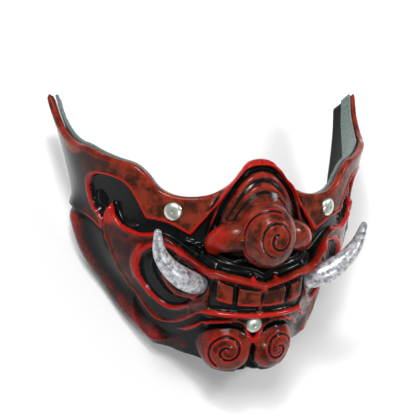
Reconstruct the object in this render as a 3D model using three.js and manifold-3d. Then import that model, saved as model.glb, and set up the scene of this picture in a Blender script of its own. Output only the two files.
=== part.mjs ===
// Samurai face guard: a moulded half mask with tusks, rivets and a felt lining.
//
// The mask is drawn as it is worn: millimetres, +Z up, the face looks along -Y, and the
// wearer's right side is -X. The last section lays it down on the rim of its jaw, the way
// it settles on a table, with the floor at Z = 0 and the origin below its middle.
import * as THREE from 'three';
import { mergeVertices } from 'three/addons/utils/BufferGeometryUtils.js';
import Module from 'manifold-3d';

const wasm = await Module();
wasm.setup();

// ---------------------------------------------------------------- driving dimensions
const REST_TILT = THREE.MathUtils.degToRad(58);
const REST_FLAT = 0.6; // depth of the worn flats under the jaw
const GAP = 0.3; // clearance between fitted pieces

const WALL = 4; // wall of the moulded shell
const LINING = 2; // felt under the cheeks and wings
const LINING_GAP = 0.9; // glue line between shell and felt
const LINING_PROUD = 1.2; // felt standing past the rim
const RIM_REACH = 1.8; // how far the rolled rim stands past the wall's edge

const SECTION_CENTRE_Y = -5; // every level section is an ellipse about this line
const ARC_RADIUS = 77; // one unit of u is one millimetre of arc at this radius

// Level sections of the face: height, half width, and the Y of the front.
const SECTIONS = [
  [-74, 44, -74.5],
  [-62, 48, -77],
  [-48, 58, -78],
  [-34, 65.5, -82],
  [-18, 75, -84],
  [0, 80.5, -80.5],
  [15, 82.5, -80.5],
  [46, 91, -77],
  [75, 101.5, -75],
];

// Half of the outline as (u, z): over the nose, cheek and wing, and under the chin and jaw.
const TOP_EDGE = [
  [0, 44], [7, 42.5], [12, 37.5], [16.5, 32], [23, 27], [31, 24], [41, 23], [50, 24],
  [57, 27.5], [63, 34], [70, 38.5], [79, 40], [89, 42], [98, 44.5], [107, 45.5], [117, 49.5],
  [126, 57], [133, 68.5],
];
const BOTTOM_EDGE = [
  [0, -75.5], [10, -76], [22, -75.2], [31, -72.4], [40, -71], [52, -70], [65, -67],
  [78, -63.5], [90, -58], [100, -51.5], [109, -43], [117, -32], [123, -20], [128, -6],
  [131, 9], [134, 26], [138, 42], [143, 58],
];

// Lines of the relief, as (u, z).
const UPPER_LIP = [[0, -22.7], [12, -20.5], [25, -17], [31, -14.5], [38, -9], [47, -3.5]];
const LOWER_LIP = [[0, -39.5], [15, -39], [26, -38]];
const JAW_RIDGE = [
  [26, -38], [36, -43.5], [46, -49.5], [56, -51.5], [65, -49.5], [74, -42], [80, -33],
  [86, -18], [90, -6],
];
const JAW_BAND = [[119, -14], [112, -30], [102, -43], [88, -53], [70, -60]];
const SOCKET_ROOT = [[40, -20], [40.5, -20]];
const CHEEK_CHANNEL = [[72, 7], [60, 5.5], [52, 4], [45, 1], [38, -2]];
const FLAME_EDGE = [[86, 13], [82, 6], [74, 2], [66, 0], [56, 1]];

// Bells along those lines: line, half width and height; a negative height is a channel.
const JAW_FLARE = [JAW_BAND, 11, 4.5];
const RIDGES = [
  [SOCKET_ROOT, 9.5, 5], [UPPER_LIP, 4.5, 4.5], [LOWER_LIP, 4, 4], [JAW_RIDGE, 5, 1],
  [FLAME_EDGE, 4, 1.2], [CHEEK_CHANNEL, 4, -2], JAW_FLARE,
];

// Domes of the outside: centre (u, z), radii, height, and a power that steepens the sides.
const MUZZLE = [0, -25, 44, 26, 6, 1];
const BRIDGE = [0, 19, 20, 24, 8, 0.9];
const CHEEK_HOLLOW = [81, 17, 19, 14, -2.4, 0.7];
const SOCKET_HOLLOW = [50, -24, 17, 16, -2.2, 0.7];
const OUTER_DOMES = [MUZZLE, BRIDGE, CHEEK_HOLLOW, SOCKET_HOLLOW];

// Domes of the inner wall: room for the nose and mouth, and the backs of the hollows.
const NOSE_ROOM = [0, 10, 24, 34, 13, 1];
const MOUTH_ROOM = [0, -25, 44, 26, 5, 1];
const CHEEK_BACK = [81, 17, 22, 17, -2.4, 1];
const SOCKET_BACK = [48, -24, 22, 20, -2, 1];

// Swollen forms: centre and radii of the nose, a nostril wing and a chin lobe.
const NOSE_BALL = [[0, -92, 5.5], [15.5, 17, 18]];
const NOSTRIL_WING = [[19.5, -83, 2.5], [10, 10, 8]];
const CHIN_LOBE = [[14.5, -71.5, -61.5], [14, 11.5, 12.5]];
const SWELLING_SEGMENTS = [20, 14];

// Rivets: position on the base surface and size of the domed cap.
const CHEEK_STUD = [47.5, 14.8];
const CHIN_STUD = [0, -47.5];
const STUD_RADIUS = 5.2;
const STUD_HEIGHT = 2.4;
const STUD_BASE = 0.8; // straight part of the cap, under its dome
const STUD_SHANK = 2; // depth sunk into the wall
const STUD_STEPS = 6;
const STUD_SIDES = 28;

// Tusks: centre line of the wearer's left one, from its root to its tip, and its radius.
const TUSK_LINE = [
  [31.5, -75.5, -24], [37, -78.5, -22], [43.5, -80.5, -18.5], [51, -82, -12.3],
  [57, -84, -3.6], [59.3, -87, 7.5],
];
const TUSK_RADII = [5.6, 6.1, 6, 5, 3.7, 2];
const TUSK_POCKET = 0.6; // share of the tusk's length that its pocket is cut along

// Felt: how far it runs along the edges and up the wall, as shares.
const LINING_SPAN = { s0: 0.24, s1: 0.99, t0: 0.66, t1: 0.99 };

// Mesh density, and the shares and steps that shape the wall's grid.
const WHOLE = { s0: -1, s1: 1, t0: 0, t1: 1 };
const SHELL_COUNTS = { columns: 64, outer: 30, inner: 8 };
const ROOM_COUNTS = { columns: 32, outer: 12, inner: 4 };
const FELT_COUNTS = { columns: 22, outer: 8, inner: 8 };
const RIM_STEPS = 3;
const RIM_ROUND = 0.45; // roll of the rim as a share of the wall's thickness
const EDGE_STEP = 0.02; // step in t that finds which way is off the edge
const MIDDLE_DENSITY = 1.2; // above one, columns crowd towards the nose
const ROOM_DEPTH = 25; // how far the cleared room reaches inside the wall
const TUSK_STEPS = 16;
const TUSK_SIDES = 16;
const SLOPE_STEP = 0.5; // half the step that measures the face's slope
const WELD = 1e-4;

// ---------------------------------------------------------------- base surface
// Smooth curve through a column of SECTIONS, read at height z.
function sectionValue(z, column) {
  const last = SECTIONS.length - 1;
  const level = THREE.MathUtils.clamp(z, SECTIONS[0][0], SECTIONS[last][0]);
  let i = 0;
  while (i < last - 1 && SECTIONS[i + 1][0] < level) i += 1;
  const slope = (k) => {
    const low = SECTIONS[Math.max(k - 1, 0)];
    const high = SECTIONS[Math.min(k + 1, last)];
    return (high[column] - low[column]) / (high[0] - low[0]);
  };
  const span = SECTIONS[i + 1][0] - SECTIONS[i][0];
  const t = (level - SECTIONS[i][0]) / span;
  const start = (2 * t ** 3 - 3 * t ** 2 + 1) * SECTIONS[i][column];
  const end = (3 * t ** 2 - 2 * t ** 3) * SECTIONS[i + 1][column];
  const leave = (t ** 3 - 2 * t ** 2 + t) * span * slope(i);
  const arrive = (t ** 3 - t ** 2) * span * slope(i + 1);
  return start + end + leave + arrive;
}

// Point of the smooth face at arc position u and height z.
function basePoint(u, z) {
  const angle = u / ARC_RADIUS;
  const halfWidth = sectionValue(z, 1);
  const depth = SECTION_CENTRE_Y - sectionValue(z, 2);
  const reach = 1 / Math.hypot(Math.sin(angle) / halfWidth, Math.cos(angle) / depth);
  const y = SECTION_CENTRE_Y - reach * Math.cos(angle);
  return new THREE.Vector3(reach * Math.sin(angle), y, z);
}

// Outward normal of the smooth face, from two short steps along it.
function baseNormal(u, z) {
  const across = basePoint(u + SLOPE_STEP, z).sub(basePoint(u - SLOPE_STEP, z));
  const upward = basePoint(u, z + SLOPE_STEP).sub(basePoint(u, z - SLOPE_STEP));
  return across.cross(upward).normalize();
}

// Point that stands a height h off the smooth face.
function faceAt(u, z, h) {
  return basePoint(u, z).addScaledVector(baseNormal(u, z), h);
}

// ---------------------------------------------------------------- relief
// Dome over an ellipse centred at (cu, cz); a power below one gives it steeper sides.
function dome(u, z, cu, cz, ru, rz, height, power) {
  const inside = 1 - ((u - cu) / ru) ** 2 - ((z - cz) / rz) ** 2;
  return inside > 0 ? height * inside ** power : 0;
}

// Bell-shaped ridge along a polyline; a negative height is a channel.
function ridge(u, z, line, halfWidth, height) {
  let nearest = Infinity;
  for (let i = 1; i < line.length; i += 1) {
    const [au, az] = line[i - 1];
    const [bu, bz] = line[i];
    const along = (u - au) * (bu - au) + (z - az) * (bz - az);
    const t = THREE.MathUtils.clamp(along / ((bu - au) ** 2 + (bz - az) ** 2), 0, 1);
    nearest = Math.min(nearest, Math.hypot(u - au - t * (bu - au), z - az - t * (bz - az)));
  }
  return height * Math.exp(-((nearest / halfWidth) ** 2));
}

// Height of the sculpted outside over the smooth face.
function outerRelief(uSigned, z) {
  const u = Math.abs(uSigned);
  const domes = OUTER_DOMES.reduce((sum, form) => sum + dome(u, z, ...form), 0);
  return RIDGES.reduce((sum, form) => sum + ridge(u, z, ...form), domes);
}

// Height of the inner wall: it follows the nose, the muzzle, the hollows and the flare only.
function innerRelief(uSigned, z) {
  const u = Math.abs(uSigned);
  const face = Math.max(dome(u, z, ...NOSE_ROOM), dome(u, z, ...MOUTH_ROOM));
  const hollows = dome(u, z, ...CHEEK_BACK) + dome(u, z, ...SOCKET_BACK);
  return face + hollows + ridge(u, z, ...JAW_FLARE) - WALL;
}

// ---------------------------------------------------------------- shell
// Whole edge from the wearer's right end to the left end, out of its half.
function wholeEdge(half) {
  const left = half.map(([u, z]) => new THREE.Vector2(u, z));
  const right = half.slice(1).map(([u, z]) => new THREE.Vector2(-u, z)).reverse();
  return new THREE.SplineCurve([...right, ...left]);
}

const topCurve = wholeEdge(TOP_EDGE);
const bottomCurve = wholeEdge(BOTTOM_EDGE);

// Place on the mask as (u, z): s runs from wing to wing, t from the lower to the upper edge.
// The wall stops a rim's reach inside both edges.
function place(s, t) {
  const along = 0.5 + 0.5 * Math.sign(s) * Math.abs(s) ** MIDDLE_DENSITY;
  const low = bottomCurve.getPointAt(along);
  const high = topCurve.getPointAt(along);
  const inset = RIM_REACH / low.distanceTo(high);
  return low.lerp(high, THREE.MathUtils.lerp(inset, 1 - inset, t));
}

// Closed wall between two reliefs over a range of s and t, with half-round edges.
function wallGeometry(range, counts, outerHeight, innerHeight, proud = 0) {
  const positions = [];
  const indices = [];
  const loopOf = (s) => {
    const points = [];
    const edgeStep = (t, outward, from, to) => {
      const edge = place(s, t);
      const inward = place(s, t - EDGE_STEP * outward);
      const away = edge.clone().sub(inward).normalize();
      const h0 = from(edge.x, edge.y);
      const h1 = to(edge.x, edge.y);
      for (let k = 1; k <= RIM_STEPS; k += 1) {
        const turn = (Math.PI * k) / (RIM_STEPS + 1);
        const roll = Math.min(RIM_ROUND * Math.abs(h0 - h1), RIM_REACH);
        const reach = roll * Math.sin(turn) + proud;
        const h = (h0 + h1) / 2 + ((h0 - h1) / 2) * Math.cos(turn);
        points.push(faceAt(edge.x + away.x * reach, edge.y + away.y * reach, h));
      }
    };
    for (let j = 0; j <= counts.outer; j += 1) {
      const p = place(s, THREE.MathUtils.lerp(range.t0, range.t1, j / counts.outer));
      points.push(faceAt(p.x, p.y, outerHeight(p.x, p.y)));
    }
    edgeStep(range.t1, 1, outerHeight, innerHeight);
    for (let j = counts.inner; j >= 0; j -= 1) {
      const p = place(s, THREE.MathUtils.lerp(range.t0, range.t1, j / counts.inner));
      points.push(faceAt(p.x, p.y, innerHeight(p.x, p.y)));
    }
    edgeStep(range.t0, -1, innerHeight, outerHeight);
    return points;
  };
  let size = 0;
  for (let i = 0; i <= counts.columns; i += 1) {
    const loop = loopOf(THREE.MathUtils.lerp(range.s0, range.s1, i / counts.columns));
    size = loop.length;
    loop.forEach((p) => positions.push(p.x, p.y, p.z));
  }
  const at = (i, k) => i * size + (k % size);
  const point = (n) => new THREE.Vector3().fromArray(positions, 3 * n);
  for (let i = 0; i < counts.columns; i += 1) {
    for (let k = 0; k < size; k += 1) {
      const [a, b, c, d] = [at(i, k), at(i + 1, k), at(i + 1, k + 1), at(i, k + 1)];
      const shorter = point(a).distanceTo(point(c)) < point(b).distanceTo(point(d));
      indices.push(...(shorter ? [a, b, c, a, c, d] : [a, b, d, b, c, d]));
    }
  }
  closeEnd(positions, indices, size, 0, false);
  closeEnd(positions, indices, size, counts.columns, true);
  return indexedGeometry(positions, indices);
}

// Cap of one end loop: a fan about its centre.
function closeEnd(positions, indices, size, loop, flip) {
  const centre = new THREE.Vector3();
  for (let k = 0; k < size; k += 1) {
    centre.add(new THREE.Vector3().fromArray(positions, 3 * (loop * size + k)));
  }
  centre.divideScalar(size);
  const hub = positions.length / 3;
  positions.push(centre.x, centre.y, centre.z);
  for (let k = 0; k < size; k += 1) {
    const a = loop * size + k;
    const b = loop * size + ((k + 1) % size);
    indices.push(hub, flip ? b : a, flip ? a : b);
  }
}

function indexedGeometry(positions, indices) {
  const geometry = new THREE.BufferGeometry();
  geometry.setAttribute('position', new THREE.Float32BufferAttribute(positions, 3));
  geometry.setIndex(indices);
  return geometry;
}

// ---------------------------------------------------------------- booleans
function toSolid(geometry) {
  const bare = geometry.clone();
  bare.deleteAttribute('normal');
  bare.deleteAttribute('uv');
  const merged = mergeVertices(bare, WELD);
  const vertProperties = new Float32Array(merged.attributes.position.array);
  const triVerts = new Uint32Array(merged.index.array);
  return new wasm.Manifold(new wasm.Mesh({ numProp: 3, vertProperties, triVerts }));
}

function toGeometry(solid) {
  const mesh = solid.getMesh();
  return indexedGeometry(Array.from(mesh.vertProperties), Array.from(mesh.triVerts));
}

// ---------------------------------------------------------------- swollen forms
function swelling([[x, y, z], [rx, ry, rz]], side) {
  const geometry = new THREE.SphereGeometry(1, ...SWELLING_SEGMENTS);
  geometry.scale(rx, ry, rz);
  geometry.translate(side * x, y, z);
  return geometry;
}

// ---------------------------------------------------------------- rivets and tusks
// Domed cap on a short shank, turned about its axis, which is +Y until it is placed.
function studGeometry(grow) {
  const radius = STUD_RADIUS + grow;
  const foot = -STUD_SHANK - grow;
  const profile = [new THREE.Vector2(0, foot), new THREE.Vector2(radius, foot)];
  for (let k = 0; k <= STUD_STEPS; k += 1) {
    const turn = (Math.PI / 2) * (k / STUD_STEPS);
    const y = STUD_BASE + (STUD_HEIGHT - STUD_BASE + grow) * Math.sin(turn);
    profile.push(new THREE.Vector2(k === STUD_STEPS ? 0 : radius * Math.cos(turn), y));
  }
  return new THREE.LatheGeometry(profile, STUD_SIDES);
}

// Turns a stud's axis onto the face's normal at its seat.
function seatMatrix([u, z], side) {
  const seat = faceAt(side * u, z, outerRelief(u, z));
  const turn = new THREE.Quaternion();
  turn.setFromUnitVectors(new THREE.Vector3(0, 1, 0), baseNormal(side * u, z));
  return new THREE.Matrix4().compose(seat, turn, new THREE.Vector3(1, 1, 1));
}

// Horn along its bent centre line, a circle of changing radius at every step.
function tuskGeometry(side, grow, reach) {
  const line = new THREE.CatmullRomCurve3(
    TUSK_LINE.map(([x, y, z]) => new THREE.Vector3(side * x, y, z)),
  );
  const radii = new THREE.SplineCurve(TUSK_RADII.map((r, i) => new THREE.Vector2(i, r)));
  const positions = [];
  const indices = [];
  for (let i = 0; i <= TUSK_STEPS; i += 1) {
    const t = (reach * i) / TUSK_STEPS;
    const centre = line.getPoint(t);
    const tangent = line.getTangent(t);
    const first = new THREE.Vector3(0, 0, 1).cross(tangent).normalize();
    const second = tangent.clone().cross(first);
    const radius = radii.getPoint(t).y + grow;
    for (let k = 0; k < TUSK_SIDES; k += 1) {
      const turn = (2 * Math.PI * k) / TUSK_SIDES;
      const p = centre.clone().addScaledVector(first, radius * Math.cos(turn));
      p.addScaledVector(second, radius * Math.sin(turn));
      positions.push(p.x, p.y, p.z);
    }
  }
  for (let i = 0; i < TUSK_STEPS; i += 1) {
    for (let k = 0; k < TUSK_SIDES; k += 1) {
      const a = i * TUSK_SIDES + k;
      const b = i * TUSK_SIDES + ((k + 1) % TUSK_SIDES);
      indices.push(a, b, b + TUSK_SIDES, a, b + TUSK_SIDES, a + TUSK_SIDES);
    }
  }
  closeEnd(positions, indices, TUSK_SIDES, 0, true);
  closeEnd(positions, indices, TUSK_SIDES, TUSK_STEPS, false);
  return indexedGeometry(positions, indices);
}

// ---------------------------------------------------------------- materials
const lacquer = () => new THREE.MeshStandardMaterial({ color: 0x8e1a10, roughness: 0.18 });
const ivory = () => new THREE.MeshStandardMaterial({ color: 0xb9bcc0, roughness: 0.3 });
const nickel = () =>
  new THREE.MeshStandardMaterial({ color: 0xc9d2c8, roughness: 0.22, metalness: 1 });
const felt = () => new THREE.MeshStandardMaterial({ color: 0x5f726e, roughness: 0.9 });

function piece(name, geometry, material) {
  const mesh = new THREE.Mesh(geometry, material);
  mesh.name = name;
  return mesh;
}

// ---------------------------------------------------------------- assembly as worn
const worn = new THREE.Group();
const studs = [
  ['stud_cheek_right', CHEEK_STUD, -1],
  ['stud_cheek_left', CHEEK_STUD, 1],
  ['stud_chin', CHIN_STUD, 1],
];
const sides = [['right', -1], ['left', 1]];

let shell = toSolid(wallGeometry(WHOLE, SHELL_COUNTS, outerRelief, innerRelief));

// The swollen forms stop inside the wall, so that the room for the face stays clear.
const roomOuter = (u, z) => innerRelief(u, z) + WALL / 4;
const roomInner = (u, z) => innerRelief(u, z) - ROOM_DEPTH;
const room = toSolid(wallGeometry(WHOLE, ROOM_COUNTS, roomOuter, roomInner));
const swollen = [[NOSE_BALL, 1]];
sides.forEach(([, side]) => swollen.push([NOSTRIL_WING, side], [CHIN_LOBE, side]));
swollen.forEach(([form, side]) => {
  shell = shell.add(toSolid(swelling(form, side)).subtract(room));
});
studs.forEach(([name, seat, side]) => {
  const matrix = seatMatrix(seat, side);
  shell = shell.subtract(toSolid(studGeometry(GAP).applyMatrix4(matrix)));
  worn.add(piece(name, studGeometry(0).applyMatrix4(matrix), nickel()));
});
sides.forEach(([name, side]) => {
  shell = shell.subtract(toSolid(tuskGeometry(side, GAP, TUSK_POCKET)));
  worn.add(piece(`tusk_${name}`, tuskGeometry(side, 0, 1), ivory()));
});

// Felt inside the cheek and wing, from beside the nose to the end of the wing.
const feltOuter = (u, z) => innerRelief(u, z) - LINING_GAP;
const feltInner = (u, z) => innerRelief(u, z) - LINING_GAP - LINING;
sides.forEach(([name, side]) => {
  const { s0, s1, t0, t1 } = LINING_SPAN;
  const range = side > 0 ? LINING_SPAN : { s0: -s1, s1: -s0, t0, t1 };
  const geometry = wallGeometry(range, FELT_COUNTS, feltOuter, feltInner, LINING_PROUD);
  worn.add(piece(`lining_${name}`, geometry, felt()));
});

// ---------------------------------------------------------------- at rest on a floor
const floorUp = new THREE.Vector3(0, -Math.sin(REST_TILT), Math.cos(REST_TILT));
const shellPoints = toGeometry(shell).attributes.position;
let lowest = Infinity;
for (let i = 0; i < shellPoints.count; i += 1) {
  lowest = Math.min(lowest, floorUp.dot(new THREE.Vector3().fromBufferAttribute(shellPoints, i)));
}
const floorLevel = lowest + REST_FLAT;
shell = shell.trimByPlane(floorUp.toArray(), floorLevel);
worn.add(piece('shell', toGeometry(shell), lacquer()));

worn.rotation.x = -REST_TILT;
const group = new THREE.Group();
group.add(worn);
group.updateMatrixWorld(true);
const box = new THREE.Box3().setFromObject(group, true);
worn.position.set(0, -(box.min.y + box.max.y) / 2, -box.min.z);

export default group;
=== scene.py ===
"""Samurai face guard: a lacquered half mask with tusks, rivets and felt linings.

The mask is drawn as it is worn, in millimetres: +Z up, the face looks along -Y and the
wearer's left is +X. RestPose lays it down on the rim of its jaw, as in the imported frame.
"""

import logging
import math
from collections.abc import Sequence
from dataclasses import dataclass
from enum import Enum

import bpy
import numpy as np
from mathutils import Matrix, Vector

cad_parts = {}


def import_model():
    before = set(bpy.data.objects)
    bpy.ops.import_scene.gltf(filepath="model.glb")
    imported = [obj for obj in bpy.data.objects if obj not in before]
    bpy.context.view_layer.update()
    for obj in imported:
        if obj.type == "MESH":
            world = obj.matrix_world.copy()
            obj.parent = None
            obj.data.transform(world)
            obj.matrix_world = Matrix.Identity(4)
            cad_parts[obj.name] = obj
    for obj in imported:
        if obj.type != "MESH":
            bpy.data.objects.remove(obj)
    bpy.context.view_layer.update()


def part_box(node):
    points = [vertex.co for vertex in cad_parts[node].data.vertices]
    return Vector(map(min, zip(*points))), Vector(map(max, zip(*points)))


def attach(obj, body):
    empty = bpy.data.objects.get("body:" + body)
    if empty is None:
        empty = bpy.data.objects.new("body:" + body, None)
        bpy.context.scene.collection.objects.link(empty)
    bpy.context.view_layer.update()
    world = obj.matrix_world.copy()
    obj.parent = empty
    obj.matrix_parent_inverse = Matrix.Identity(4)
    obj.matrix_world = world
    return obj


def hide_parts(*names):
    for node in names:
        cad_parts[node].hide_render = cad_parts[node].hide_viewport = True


Array = np.ndarray
Points = Sequence[tuple[float, ...]]
log = logging.getLogger("face_guard")
MM = 0.001
WALL = 4.0  # Thickness of the shell's wall, in millimetres.
CIRCLE = 360  # Degrees.
TURNS = 3  # Turns looked through either way for the nearest groove of a spiral.

# Sockets that share a name with others on their node, by index.
AMOUNT, UNDER, OVER = 0, 6, 7
VALUE, FROM_LOW, FROM_HIGH, TO_LOW, TO_HIGH = range(5)
COLOUR_MIX = {"kind": "ShaderNodeMix", "out": 2, "data_type": "RGBA"}
SPREAD = {"kind": "ShaderNodeMapRange"}
SCALED_SUM = {"kind": "ShaderNodeMath", "operation": "MULTIPLY_ADD"}


class Side(Enum):
    """Which side of the wearer a paired piece sits on; the value is the sign of X."""

    RIGHT = -1
    LEFT = 1


# ---------------------------------------------------------------- curves and fields
def smooth_line(points: Points, steps: int = 6) -> Array:
    """Points along a uniform Catmull-Rom curve.

    Each span is the cubic through its two ends whose slope at a knot is half the
    step between that knot's neighbours.

    Args:
        points: The knots of the curve, of any dimension.
        steps: Points made in each span.

    Returns:
        The curve's points, the last knot included.
    """
    knots = np.asarray(points, float)
    last = len(knots) - 1
    spot = np.linspace(0, last, last * steps + 1)
    i = np.minimum(spot.astype(int), last - 1)
    t = (spot - i)[:, None]
    before, start = knots[np.maximum(i - 1, 0)], knots[i]
    end, after = knots[i + 1], knots[np.minimum(i + 2, last)]
    leave, arrive = (end - before) / 2, (after - start) / 2
    bend = (2 * start - 2 * end + leave + arrive) * t**3
    return bend + (3 * end - 3 * start - 2 * leave - arrive) * t**2 + leave * t + start


def along_line(line: Array, share: Array) -> Array:
    """Points at shares of a polyline's length, by interpolating its running length."""
    reach = np.linalg.norm(np.diff(line, axis=0), axis=1)
    length = np.concatenate([[0.0], np.cumsum(reach)])
    spots = np.asarray(share) * length[-1]
    return np.stack([np.interp(spots, length, line[:, k]) for k in range(line.shape[1])], -1)


def distance(u: Array, z: Array, line: Array) -> Array:
    """Distance from each (u, z) to the nearest segment of a polyline."""
    nearest = np.full(u.shape, np.inf)
    for (au, az), (bu, bz) in zip(line[:-1], line[1:]):
        du, dz = bu - au, bz - az
        t = np.clip(((u - au) * du + (z - az) * dz) / max(du * du + dz * dz, 1e-9), 0, 1)
        nearest = np.minimum(nearest, np.hypot(u - au - t * du, z - az - t * dz))
    return nearest


def depth_in(u: Array, z: Array, outline: Array) -> Array:
    """Signed distance to a closed outline: positive inside, found by counting crossings."""
    ring = np.vstack([outline, outline[:1]])
    inside = np.zeros(u.shape, bool)
    for (au, az), (bu, bz) in zip(ring[:-1], ring[1:]):
        if az != bz:
            crosses = (az > z) != (bz > z)
            inside ^= crosses & (u < au + (z - az) * (bu - au) / (bz - az))
    return np.where(inside, 1, -1) * distance(u, z, ring)


def bell(reach: Array, half_width: float) -> Array:
    """Bell curve exp(-(reach / half_width)^2)."""
    return np.exp(-((reach / half_width) ** 2))


def step_up(value: Array, low: float, high: float) -> Array:
    """Smooth step 3t^2 - 2t^3 that goes from 0 at low to 1 at high."""
    t = np.clip((value - low) / (high - low), 0, 1)
    return t * t * (3 - 2 * t)


def step_down(value: Array, low: float, high: float) -> Array:
    """Smooth step that goes from 1 at low to 0 at high."""
    return 1 - step_up(value, low, high)


def dome(u: Array, z: Array, middle: tuple[float, float], radii: tuple[float, float],
         height: float, power: float = 1.0) -> Array:
    """Height times (1 - the squared distance in radii)^power inside an ellipse, else 0."""
    inside = 1 - ((u - middle[0]) / radii[0]) ** 2 - ((z - middle[1]) / radii[1]) ** 2
    return height * np.maximum(inside, 0) ** power


def blurred(field: Array, reach: tuple[int, int]) -> Array:
    """Field averaged over a window of rows and columns, twice each way."""
    for axis, half in enumerate(reach):
        for _ in range(2):
            pad = [(0, 0), (0, 0)]
            pad[axis] = (half + 1, half)
            run = np.cumsum(np.pad(field, pad, mode="edge"), axis=axis)
            ahead = np.take(run, range(2 * half + 1, run.shape[axis]), axis=axis)
            behind = np.take(run, range(run.shape[axis] - 2 * half - 1), axis=axis)
            field = (ahead - behind) / (2 * half + 1)
    return field


def spiral_distance(azimuth: Array, radius: Array, knots: Points) -> Array:
    """Distance to a spiral groove, in polar coordinates.

    The knots are put in order of azimuth. For every turn k the azimuth a + 360k is held to
    the spiral's range. The distance is the hypotenuse of two steps: in radius, and along the
    arc to that held azimuth.

    Args:
        azimuth: Degrees about the spiral's middle.
        radius: Distance from the spiral's middle, in millimetres.
        knots: Azimuth in degrees and radius in millimetres, outwards along the spiral.

    Returns:
        The least distance over all turns, in millimetres.
    """
    turns, radii = np.asarray(sorted(tuple(knot) for knot in knots), float).T
    nearest = np.full(azimuth.shape, np.inf)
    for k in range(-TURNS, TURNS + 1):
        spot = azimuth + CIRCLE * k
        held = np.clip(spot, turns.min(), turns.max())
        arc = np.radians(spot - held) * radius
        nearest = np.minimum(nearest, np.hypot(radius - np.interp(held, turns, radii), arc))
    return nearest


# ---------------------------------------------------------------- the worn face
@dataclass(frozen=True)
class FaceForm:
    """The smooth face that the relief stands on: level sections are half ellipses."""

    centre_y: float = -5.0
    arc_radius: float = 77.0
    # Height, half width, and the Y of the front.
    sections: Points = (
        (-74, 44, -74.5), (-62, 48, -77), (-48, 58, -78), (-34, 65.5, -82), (-18, 75, -84),
        (0, 80.5, -80.5), (15, 82.5, -80.5), (46, 91, -77), (75, 101.5, -75),
    )

    def section(self, z: Array, column: int) -> Array:
        """A column of the sections at height z, on Hermite cubics with central slopes."""
        knots = np.asarray(self.sections, float)
        level = np.clip(z, knots[0, 0], knots[-1, 0])
        order, last = np.arange(len(knots)), len(knots) - 1
        i = np.clip(np.searchsorted(knots[:, 0], level) - 1, 0, last - 1)
        step = knots[np.minimum(order + 1, last)] - knots[np.maximum(order - 1, 0)]
        slope = step[:, column] / step[:, 0]
        span = knots[i + 1, 0] - knots[i, 0]
        t = (level - knots[i, 0]) / span
        held = (2 * t**3 - 3 * t**2 + 1) * knots[i, column]
        held = held + (3 * t**2 - 2 * t**3) * knots[i + 1, column]
        bent = (t**3 - 2 * t**2 + t) * slope[i] + (t**3 - t**2) * slope[i + 1]
        return held + bent * span

    def base(self, u: Array, z: Array) -> Array:
        """Points at arc position u and height z: the ellipse's radius at u / arc_radius."""
        angle = u / self.arc_radius
        depth = self.centre_y - self.section(z, 2)
        reach = 1 / np.hypot(np.sin(angle) / self.section(z, 1), np.cos(angle) / depth)
        return np.stack([reach * np.sin(angle), self.centre_y - reach * np.cos(angle), z], -1)

    def normal(self, u: Array, z: Array) -> Array:
        """Outward normals: the cross product of half-millimetre steps across and up."""
        across = self.base(u + 0.5, z) - self.base(u - 0.5, z)
        upward = self.base(u, z + 0.5) - self.base(u, z - 0.5)
        normal = np.cross(across, upward)
        return normal / np.linalg.norm(normal, axis=-1, keepdims=True)

    def at(self, u: Array, z: Array, height: Array) -> Array:
        """Points that stand a height off the smooth face."""
        return self.base(u, z) + self.normal(u, z) * np.asarray(height)[..., None]


@dataclass(frozen=True)
class Outline:
    """The mask's upper and lower edge as (u, z), from the middle to the end of a wing."""

    top: Points = (
        (0, 44), (7, 42.5), (12, 37.5), (16.5, 32), (23, 27), (31, 24), (41, 23), (50, 24),
        (57, 27.5), (63, 34), (70, 38.5), (79, 40), (89, 42), (98, 44.5), (107, 45.5),
        (117, 49.5), (126, 57), (133, 68.5),
    )
    bottom: Points = (
        (0, -75.5), (10, -76), (22, -75.2), (31, -72.4), (40, -71), (52, -70), (65, -67),
        (78, -63.5), (90, -58), (100, -51.5), (109, -43), (117, -32), (123, -20), (128, -6),
        (131, 9), (134, 26), (138, 42), (143, 58),
    )
    rim_reach: float = 1.8

    @staticmethod
    def edge(half: Points, share: Array) -> Array:
        """Points of a whole edge at shares of its length from the middle to the left end."""
        mirrored = [(-u, z) for u, z in half[:0:-1]]
        return along_line(smooth_line([*mirrored, *half], 24), 0.5 + 0.5 * np.asarray(share))

    def place(self, share: Array, t: Array) -> Array:
        """(u, z) t of the way up between the edges, a rim's reach inside each of them."""
        share, t = np.broadcast_arrays(share, t)
        low, high = self.edge(self.bottom, share), self.edge(self.top, share)
        inset = self.rim_reach / np.linalg.norm(high - low, axis=-1, keepdims=True)
        return low + (high - low) * (inset + (1 - 2 * inset) * t[..., None])


@dataclass(frozen=True)
class RestPose:
    """Lays worn points down: a tilt about X, then the offset found from the frame."""

    tilt_deg: float = 58.0
    offset: tuple[float, float, float] = (0.0, 0.0, 0.0)

    def lay(self, worn: Array) -> Array:
        """Worn points in millimetres as row-frame points in metres."""
        c, s = math.cos(math.radians(self.tilt_deg)), math.sin(math.radians(self.tilt_deg))
        x, y, z = np.moveaxis(np.asarray(worn, float), -1, 0)
        laid = np.stack([x, y * c + z * s, -y * s + z * c], -1) * MM
        return laid + np.asarray(self.offset)

    def lay_direction(self, worn: Array) -> Vector:
        """A worn direction turned into the row frame."""
        ends = RestPose(self.tilt_deg).lay(np.stack([np.zeros(3), np.asarray(worn, float)]))
        return Vector(ends[1] - ends[0]).normalized()

    @classmethod
    def from_frame(cls, sample: Array, node: str) -> "RestPose":
        """The pose that puts the lowest corner of a worn sample on a CAD node's.

        Args:
            sample: Worn points of the same piece as the node.
            node: The CAD node's name.

        Returns:
            The pose, with its offset in metres.
        """
        lowest = cls().lay(sample.reshape(-1, 3)).min(0)
        corner = np.asarray(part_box(node)[0])
        return cls(offset=(0.0, *(corner - lowest)[1:]))


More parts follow.
